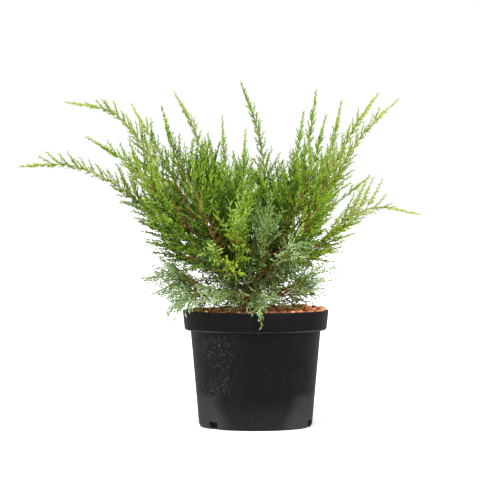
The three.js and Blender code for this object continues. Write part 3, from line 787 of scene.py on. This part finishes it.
def side_twig(name, station, stations, share, turn, hang):
    """The side twig that a shoot bears at a station."""
    _, _, _, longest, whip, turn_up, _ = MASSES[name]
    number = NUMBERS[name]
    along = (station + 0.5) / stations
    way = way_out(stem_curves[name], along, station * STATION_TURN + number * MASS_TURN + turn)
    skyward = way[-1].z
    opening = part_way(OPENINGS, math.sqrt(along)) + swing(OPEN_SPREAD, number, station, 1)
    vigour = part_way(TWIG_VIGOUR, chance(number, station, 2)) * (1 + TWIG_SKYWARD * skyward)
    up_mass = along / (1 - whip)
    fullness = WHIP_FULLNESS if up_mass > 1 else np.interp(up_mass, *MASS_OUTLINE)
    length = share * max(longest * fullness * vigour, HANG_LENGTH * hang)
    lift = (turn_up - hang) * (0.5 + 0.5 * skyward)
    twig_curve, ending = leaning_twig(*way, opening, lift, length)
    radius = TWIG_SHARE * part_way(STEM_RADII, along)
    return twig_facts(twig_curve, ending, length, radius, along, number, station, 3)


def marks_on(curves, count):
    """Places all the way along each curve."""
    return np.concatenate([along_curve(curve, np.linspace(0, 1, count))[0] for curve in curves])


stem_curves = {name: stem_curve(*mass[:4]) for name, mass in MASSES.items()}
stem_marks = marks_on(stem_curves.values(), STEM_MARKS)
limb_marks = marks_on([curve for curve, _ in limb_curves.values()], LIMB_MARKS)
limb_shares = np.linspace(0, 1, LIMB_MARKS)
limb_radii = np.array([radius_at(share) for _, radius_at in limb_curves.values() for share in limb_shares])


def owners(points):
    """The number of the mass whose leading shoot is nearest to each point."""
    gaps = ((points[:, None] - stem_marks) ** 2).sum(axis=2)
    return gaps.argmin(axis=1) // STEM_MARKS + 1


def last_twig(name):
    """The end of a leading shoot, which is feathered like a side twig."""
    start, _ = at(stem_curves[name], LAST_FROM)
    end, ending = at(stem_curves[name], 1)
    tip = end + ending * LAST_SPRAY * MASSES[name][3]
    curve = [start, end, end.lerp(tip, 0.4), tip]
    radius = TWIG_SHARE * STEM_RADII[-1]
    return twig_facts(curve, ending, (tip - start).length, radius, 1, NUMBERS[name], 0, 3)


def clear_of_rest(points):
    """Whether each point is clear of the limbs, the pot and the mulch."""
    gaps = np.linalg.norm(points[:, None] - limb_marks, axis=2)
    off_limbs = (gaps > limb_radii + LIMB_CLEARANCE).all(axis=1)
    radius = np.hypot(points[:, 0], points[:, 1])
    height = points[:, 2]
    over_mulch = (radius < CHIP_REACH + 2) & (height > SOIL_LEVEL + CHIP_HEAP + 1)
    off_pot = (radius > np.interp(height, *POT_CLEARANCE)) | (height > POT_HEIGHT + 1) | over_mulch
    return off_limbs & off_pot


def way_length(curve, marks):
    return np.linalg.norm(np.diff(marks_on([curve], marks), axis=0), axis=1).sum()


def side_twigs(name):
    """The side twigs of a mass, within its space. Low down, the finer ones between stations hang."""
    bough, (_, _, tip_height), *_ = MASSES[name]
    stations = max(FEWEST_STATIONS, round(way_length(stem_curves[name], 50) / STATION_PITCH))
    twigs = []
    crowded, hang = OPEN_BETWEEN if bough == OPEN_BOUGH else HIGH_BETWEEN
    if tip_height < LOW_TIP:
        crowded, hang = TRAILING_BETWEEN if name in TRAILING else LOW_BETWEEN
    between = [station + 0.5 for station in range(stations) if station < crowded * stations]
    for station in [*range(stations), *between]:
        sag = 0 if station in range(stations) else hang
        for share, turn in TWIG_CHOICES:
            twig = side_twig(name, station, stations, share, turn, sag)
            points, _ = along_curve(twig["curve"], TWIG_TESTS)
            if (owners(points) == NUMBERS[name]).all() and clear_of_rest(points).all():
                twigs.append(twig)
                break
    return twigs


def tube(curve, radius_at, sides, rings):
    """The corners and triangles of a twig along a curve, closed at both ends."""
    shares = np.linspace(0, 1, rings)
    middles, headings = along_curve(curve, shares)
    across, above = level_axes(headings)
    spokes = turned(across[:, None], above[:, None], np.arange(sides)[:, None] * 360 / sides)
    radii = np.array([radius_at(share) for share in shares])
    corners = (middles[:, None] + spokes * radii[:, None, None]).reshape(-1, 3)
    corners = np.concatenate([corners, middles[:1], middles[-1:]])
    faces = []
    for ring in range(rings - 1):
        for i in range(sides):
            a, b = ring * sides + i, ring * sides + (i + 1) % sides
            faces += [(a, b, b + sides), (a, b + sides, a + sides)]
    foot, end = len(corners) - 2, len(corners) - 1
    last = (rings - 1) * sides
    faces += [(foot, (i + 1) % sides, i) for i in range(sides)]
    faces += [(end, last + i, last + (i + 1) % sides) for i in range(sides)]
    return corners, np.array(faces)


SHOOT_TONES = {
    "shoot_brown": (112, 74, 48),
    "shoot_orange": (156, 112, 56),
    "shoot_yellow": (150, 150, 56),
    "shoot_green": (100, 132, 40),
}
shoot_finishes = [Finish(name, paint(*tone), 0.7, specular=0.3) for name, tone in SHOOT_TONES.items()]


def shoot(curve, radius_at, ages, sides, rings):
    """A tube with the number of each triangle's finish, old at its foot and young at its end."""
    corners, faces = tube(curve, radius_at, sides, rings)
    ring = np.minimum(np.arange(len(faces)) // (2 * sides), rings - 1) / (rings - 1)
    age = np.floor(part_way(ages, ring))
    return corners, faces, np.clip(age, 0, len(SHOOT_TONES) - 1).astype(int)


def stem_taper(share):
    """A leading shoot's radius along it. It swells where it joins its bough."""
    return 1.2 * math.exp(-share * 30) + part_way(STEM_RADII, share)


def twig_taper(radius, clad):
    """A twig's radius along it. Scales that clad it keep its outer part from growing thin."""
    return lambda share: max(radius * (1.15 - 0.8 * share), clad * (1 - 0.5 * share**4))


SPROUT_PITCH = 3.6
SPROUT_BARE = 0.2
SPROUT_LENGTHS = (32, 64)
SPROUT_OPENING = 64
SPROUT_LIFT = 0.35
SPROUT_RADIUS = 0.7
SPROUT_AGES = (0.2, 5)
SPROUT_TESTS = [0.5, 0.75, 1]


def bough_twigs(bough):
    """The short leafy twigs that sprout all round a bough."""
    curve = bough_line(bough)
    number = NUMBERS[bough]
    count = round(way_length(curve, 30) * (1 - SPROUT_BARE) / SPROUT_PITCH)
    twigs = []
    for sprout in range(count):
        along = part_way((SPROUT_BARE, 1), (sprout + 0.5) / count)
        way = way_out(curve, along, sprout * STATION_TURN + number * MASS_TURN)
        opening = SPROUT_OPENING + swing(OPEN_SPREAD, number, sprout, 4)
        length = part_way(SPROUT_LENGTHS, chance(number, sprout, 5))
        twig_curve, ending = leaning_twig(*way, opening, SPROUT_LIFT, length)
        points, _ = along_curve(twig_curve, SPROUT_TESTS)
        if clear_of_rest(points).all():
            age = 0.25 * chance(number, sprout, 9)
            twigs.append(twig_facts(twig_curve, ending, length, SPROUT_RADIUS, age, number, sprout, 6))
    return twigs


mass_twigs = {name: side_twigs(name) for name in MASSES}
last_twigs = {name: last_twig(name) for name in MASSES}
sprouts = {bough: bough_twigs(bough) for bough in BOUGHS}
for bough in BOUGHS:
    masses = masses_on(bough)
    parts = []
    _, axis = at(bough_line(bough), 1)
    for name in masses:
        foot, *rest = stem_curves[name]
        parts.append(shoot([foot - axis * STEM_ROOT, *rest], stem_taper, STEM_AGES, **STEM_TUBE))
        for twig in [*mass_twigs[name], last_twigs[name]]:
            oldest = part_way(TWIG_FOOT_AGES, twig["up_stem"])
            taper = twig_taper(twig["radius"], CLAD_RADIUS)
            parts.append(shoot(twig["curve"], taper, (oldest, oldest + 4), **TWIG_TUBE))
    for twig in sprouts[bough]:
        taper = twig_taper(twig["radius"], 0)
        parts.append(shoot(twig["curve"], taper, SPROUT_AGES, **TWIG_TUBE))
    shoots = joined_piece(f"shoots_{bough}", parts)
    finish_piece(shoots, shoot_finishes, "bark", *[f"foliage_{name}" for name in masses])


# The sprays. Every side twig is feathered on both sides with twiglets, and these with branchlets, thin cords
# of scale leaves. Young ones are yellow-green, old ones deep green, and low ones sea green.
LEAF_TONES = {
    "leaf_deep": (62, 88, 20),
    "leaf_green": (104, 140, 32),
    "leaf_fresh": (144, 174, 42),
    "leaf_tip": (168, 182, 78),
    "leaf_sea_deep": (74, 96, 52),
    "leaf_sea": (128, 152, 96),
    "leaf_sea_pale": (164, 186, 132),
    "leaf_yellow": (166, 196, 56),
    "leaf_soft": (160, 192, 92),
}
# Each family of leaves, from its dullest to its brightest, by their places in the list above.
LEAF_FAMILIES = {
    "fresh": [0, 1, 2, 3],
    "green": [0, 0, 1, 2],
    "shaded": [0, 4, 1, 8],
    "sea": [4, 5, 6, 6],
    "dusky": [4, 4, 5, 6],
    "soft": [0, 1, 2, 8],
    "pale": [1, 2, 8, 8],
    "dim": [0, 4, 5, 5],
}
BRANCHLET_WIDEST = 0.4
# Upper sprays have stout cords pressed close, low ones thin cords that spread, leading shoots the stoutest.
# Their radius, how much stouter they are on short twiglets, their distance, the longest, and how far they
# open at a twiglet's foot. Then the twiglets' distance, and how far they open.
CORDS = {
    "stout": (1.0, 0, 2.6, 5.5, 32, 2.8, 34),
    "fine": (0.8, 0.25, 3.8, 22, 28, 4.6, 50),
    "leader": (1.15, 0, 2.4, 5, 26, 2.4, 28),
}
TWIGLET_LENGTHS = [6, 9, 13, 18, 24]
TWIGLET_SHAPES = 3
TWIGLET_REACH = (5, 27)
TWIGLET_ROLL = 52
FIRST_BRANCHLET = 1.6
BARE_END = 2.5
SHORTEST_BRANCHLET = 3
BRANCHLET_ROLL = 42
BARE_FOOT = 0.14
# How broad a spray is to either side, from its foot to its end, as a share of its widest.
SPRAY_OUTLINE = ([0, 0.3, 0.75, 1], [0.7, 1, 0.5, 0.2])
# How broad a side twig's spray and a leading shoot's are, as shares of their lengths.
SPRAY_BREADTHS = (0.088, 0.07)
FRONT_SPRAY_BREADTHS = (0.16, 0.12)
LOW_SPRAY_BREADTHS = (0.24, 0.18)
SPROUT_BREADTH = 0.22
SEA_BELOW = 262
FRONT_TIP = -140
DUSKY_TIP = -100
OWN_FAMILIES = {
    "front_plume": "soft",
    "centre_plume": "pale",
    "centre_spire": "pale",
    "front_dome": "dim",
    "front_hem": "sea",
}
YOUNG_PLACE = Vector((-53, -140, 246))
YOUNG_REACH = 32
YOUNG_FROM = 0.4
YOUNG_TONE = list(LEAF_TONES).index("leaf_yellow")
# How much painted light brightens leaves on the right and darkens them on the left, and how far out it is
# full.
PAINTED_SUNLIGHT = 0.1
PAINTED_SUNLIGHT_REACH = 60


def branchlet_shape():
    """A three-sided cord, 1 long and of radius 1, thickest at two fifths of its length."""
    length = 1 - BRANCHLET_WIDEST
    cone = {"vertices": 3, "radius1": 1, "radius2": 0, "depth": length, "end_fill_type": "TRIFAN"}
    middle = (0, 0, BRANCHLET_WIDEST + length / 2)
    cord = begun("branchlet", bpy.ops.mesh.primitive_cone_add, location=middle, **cone)
    corners, faces = corners_and_faces(cord)
    foot = np.hypot(corners[:, 0], corners[:, 1]) + corners[:, 2] < 0.9
    corners[foot, 2] = 0
    return corners, faces


branchlet = branchlet_shape()


def cords(starts, directions, flat, lengths, radii):
    sides = unit(np.cross(flat, directions))
    others = np.cross(directions, sides)
    thick, long = radii[:, None], lengths[:, None]
    axes = np.stack([sides * thick, others * thick, directions * long], axis=1)
    return copies(*branchlet, axes, starts)


def twiglet_shape(kind, length, seed):
    """A twiglet along X, in the plane of X and Y: its own two cords, with branchlets on both sides."""
    rng = np.random.default_rng(seed)
    radius, swelling, pitch, longest, opening, _, _ = CORDS[kind]
    bend = rng.uniform(-0.1, 0.1)
    count = max(2, int((length - BARE_END) / pitch))
    on = (FIRST_BRANCHLET + pitch * np.arange(count)) / length
    ahead, across, above = np.eye(3)
    hand = 1 - np.arange(count)[:, None] % 2 * 2
    opening = opening * (1 - 0.35 * on) + rng.uniform(-6, 6, count)
    roll = rng.uniform(-BRANCHLET_ROLL, BRANCHLET_ROLL, count)[:, None]
    directions = turned(ahead, turned(hand * across, above, roll), opening[:, None])
    starts = np.stack([on * length, bend * length * on**2, np.zeros(count)], axis=1)
    lengths = np.clip((0.55 - 0.3 * on) * length, SHORTEST_BRANCHLET, longest) * rng.uniform(0.8, 1.2, count)

    # The twiglet's own two cords overlap, and the second bends on from the first.
    own_directions = unit(np.array([[1, bend * 0.5, 0], [1, bend * 1.6, 0]]))
    own_starts = np.array([[0, 0, 0], [0.42 * length, bend * length * 0.18, 0]])
    directions = np.concatenate([own_directions, directions])
    starts = np.concatenate([own_starts, starts])
    lengths = np.concatenate([[0.66 * length, 0.58 * length], lengths])
    stouter = 1 + swelling * (1 - length / TWIGLET_LENGTHS[-1])
    return cords(starts, directions, above, lengths, radius * stouter * rng.uniform(0.85, 1.15, len(starts)))


twiglet_shapes = {
    kind: [[twiglet_shape(kind, size, seed) for seed in range(TWIGLET_SHAPES)] for size in TWIGLET_LENGTHS]
    for kind in CORDS
}


def feather(twig, kind, family, breadth, young=False):
    """The twiglets along a side twig: their starts, directions, flat sides, lengths and tones."""
    rng = np.random.default_rng(1000 * twig["number"] + int(2 * twig["station"]))
    *_, pitch, opening = CORDS[kind]
    count = max(3, int(twig["length"] * (1 - BARE_FOOT) / pitch))
    on = part_way((BARE_FOOT, 1), (np.arange(count) + rng.uniform(0.2, 0.8, count)) / count)
    starts, headings = along_curve(twig["curve"], on)
    across = unit(np.cross(twig["face"], headings))
    normals = np.cross(headings, across)
    hand = 1 - np.arange(count)[:, None] % 2 * 2
    roll = rng.uniform(-TWIGLET_ROLL, TWIGLET_ROLL, count)[:, None]
    opening = opening * (1 - 0.4 * on) + rng.uniform(-7, 7, count)
    directions = turned(headings, turned(hand * across, normals, roll), opening[:, None])
    lengths = breadth * twig["length"] * np.interp(on, *SPRAY_OUTLINE) / np.sin(np.radians(opening))
    lengths = np.clip(lengths, *TWIGLET_REACH) * rng.uniform(0.8, 1.2, count)
    flat = np.cross(directions, np.cross(normals, directions))

    # Leaves are brighter up the shoot, up the twig and by chance, and painted light makes them brighter on
    # the right, the sunny side, and darker on the left.
    draw = chance(twig["number"], twig["station"], 7)
    bright = -0.13 + 0.55 * twig["up_stem"] + 0.35 * on + 0.4 * draw + rng.uniform(-0.32, 0.32, count)
    bright += PAINTED_SUNLIGHT * np.clip(starts[:, 0] / PAINTED_SUNLIGHT_REACH, -1, 1)
    family = LEAF_FAMILIES[family]
    tones = np.array(family)[np.clip((bright * len(family)).astype(int), 0, len(family) - 1)]
    if young:
        tones = np.where(on > YOUNG_FROM, YOUNG_TONE, tones)
    ends = starts + directions * lengths[:, None]
    kept = clear_of_rest(ends) & clear_of_rest(starts)
    if twig["number"] <= len(MASSES):
        kept &= owners(ends) == twig["number"]
    return [rows[kept] for rows in (starts, directions, flat, lengths, tones)]


leaf_finishes = [Finish(name, paint(*tone), 0.6, specular=0.12) for name, tone in LEAF_TONES.items()]


def make_sprays(name, rows):
    """One mesh of all the twiglets, each a copy of the shape nearest to its length."""
    parts = []
    for kind, sprays in rows.items():
        if not sprays:
            continue
        starts, directions, flat, lengths, tones = (np.concatenate(column) for column in zip(*sprays))
        sizes = np.abs(lengths[:, None] - TWIGLET_LENGTHS).argmin(axis=1)
        for size, shapes in enumerate(twiglet_shapes[kind]):
            for shape, (corners, faces) in enumerate(shapes):
                chosen = (sizes == size) & (np.arange(len(sizes)) % TWIGLET_SHAPES == shape)
                along = directions[chosen]
                normal = unit(flat[chosen])
                scale = lengths[chosen] / TWIGLET_LENGTHS[size]
                axes = np.stack([along, np.cross(normal, along), normal], axis=1) * scale[:, None, None]
                worn = np.repeat(tones[chosen], len(faces))
                parts.append((*copies(corners, faces, axes, starts[chosen]), worn))
    return joined_piece(name, parts)


def leaf_family(name, tone, low, dusky):
    """The family that a mass's tones are dealt from."""
    if low and tone != "sea":
        tone = "sea" if name in TRAILING else "shaded"
    if tone == "sea" and dusky:
        tone = "dusky"
    return OWN_FAMILIES.get(name, tone)


for bough in BOUGHS:
    rows = {kind: [] for kind in CORDS}
    masses = masses_on(bough)
    for name, (_, (_, tip_depth, tip_height), *_, tone) in masses.items():
        low = tip_height < LOW_TIP
        front = tip_depth < FRONT_TIP
        kind = "fine" if low or front or tone == "sea" else "stout"
        last_kind = "fine" if low or front else "leader"
        family = leaf_family(name, tone, low, tip_depth < DUSKY_TIP)
        breadths = FRONT_SPRAY_BREADTHS if front else SPRAY_BREADTHS
        breadth, last_breadth = LOW_SPRAY_BREADTHS if low else breadths
        for twig in mass_twigs[name]:
            young = (twig["curve"][-1] - YOUNG_PLACE).length < YOUNG_REACH
            rows[kind].append(feather(twig, kind, family, breadth, young))
        rows[last_kind].append(feather(last_twigs[name], last_kind, family, last_breadth))
    for twig in sprouts[bough]:
        kind, family = ("fine", "sea") if twig["curve"][-1].z < SEA_BELOW else ("stout", "green")
        rows[kind].append(feather(twig, kind, family, SPROUT_BREADTH))
    sprays = make_sprays(f"sprays_{bough}", rows)
    first_mass, *_ = masses.values()
    slot = f"foliage_{first_mass[-1]}"
    finish_piece(sprays, leaf_finishes, slot, *[f"foliage_{name}" for name in masses])


# The floor, light and camera. A plain white floor under even studio light, with a soft key high in front and
# a softer fill from the front right. The camera stands off, level with the crown.
FLOOR_REACH = 40
FLOOR_GLOW = 0.12
SKY_LIGHT = 0.8
SKY_GLOSS = 0.3
CAMERA_PLACE = (-0.0246, -3.5, 0.3445)
CAMERA_AIM = (-0.0246, 0, 0.2949)
CAMERA_LENS = 166.6
# A light's strength, the breadth of its disc, its elevation and its bearing.
KEY_LIGHT = (3.0, 22, 52, -108)
FILL_LIGHT = (1.5, 60, 40, -40)


def make_floor():
    floor = begun_disc("floor", 64, FLOOR_REACH)
    bpy.ops.mesh.inset(thickness=FLOOR_REACH * 0.9)
    shaped()
    white = Finish("studio_floor", (0.96, 0.96, 0.96, 1), 0.9, specular=0.1)
    white.wear("Emission Color", (1, 1, 1, 1))
    white.wear("Emission Strength", FLOOR_GLOW)
    floor.data.materials.append(white.material)
    floor.visible_glossy = False


def add_sun(name, strength, breadth, elevation, bearing):
    light = bpy.data.lights.new(name, "SUN")
    light.energy = strength
    light.angle = math.radians(breadth)
    turn = math.radians(bearing)
    towards = slanting(Vector((math.cos(turn), math.sin(turn), 0)), elevation)
    placed(name, light).rotation_euler = towards.to_track_quat("Z", "Y").to_euler()


def add_sky():
    """White light from all round, dimmer in reflections and plain white behind the plant."""
    world = bpy.data.worlds.new("studio")
    sky = Nodes(world)
    reflected = sky.node("ShaderNodeLightPath", {}, "Is Glossy Ray")
    seen = sky.node("ShaderNodeLightPath", {}, "Is Camera Ray")
    light = sky.node("ShaderNodeMix", {"Factor": reflected, "A": SKY_LIGHT, "B": SKY_GLOSS})
    background = sky.tree.nodes["Background"]
    sky.plug(background, "Color", (1, 1, 1, 1))
    sky.plug(background, "Strength", sky.node("ShaderNodeMix", {"Factor": seen, "A": light, "B": 1}))
    bpy.context.scene.world = world


def add_camera():
    camera = placed("camera", bpy.data.cameras.new("camera"))
    camera.location = CAMERA_PLACE
    look = Vector(CAMERA_AIM) - Vector(CAMERA_PLACE)
    camera.rotation_euler = look.to_track_quat("-Z", "Y").to_euler()
    camera.data.lens = CAMERA_LENS
    bpy.context.scene.camera = camera


make_floor()
add_sun("key_light", *KEY_LIGHT)
add_sun("fill_light", *FILL_LIGHT)
add_sky()
add_camera()
bpy.context.scene.view_settings.view_transform = "Standard"
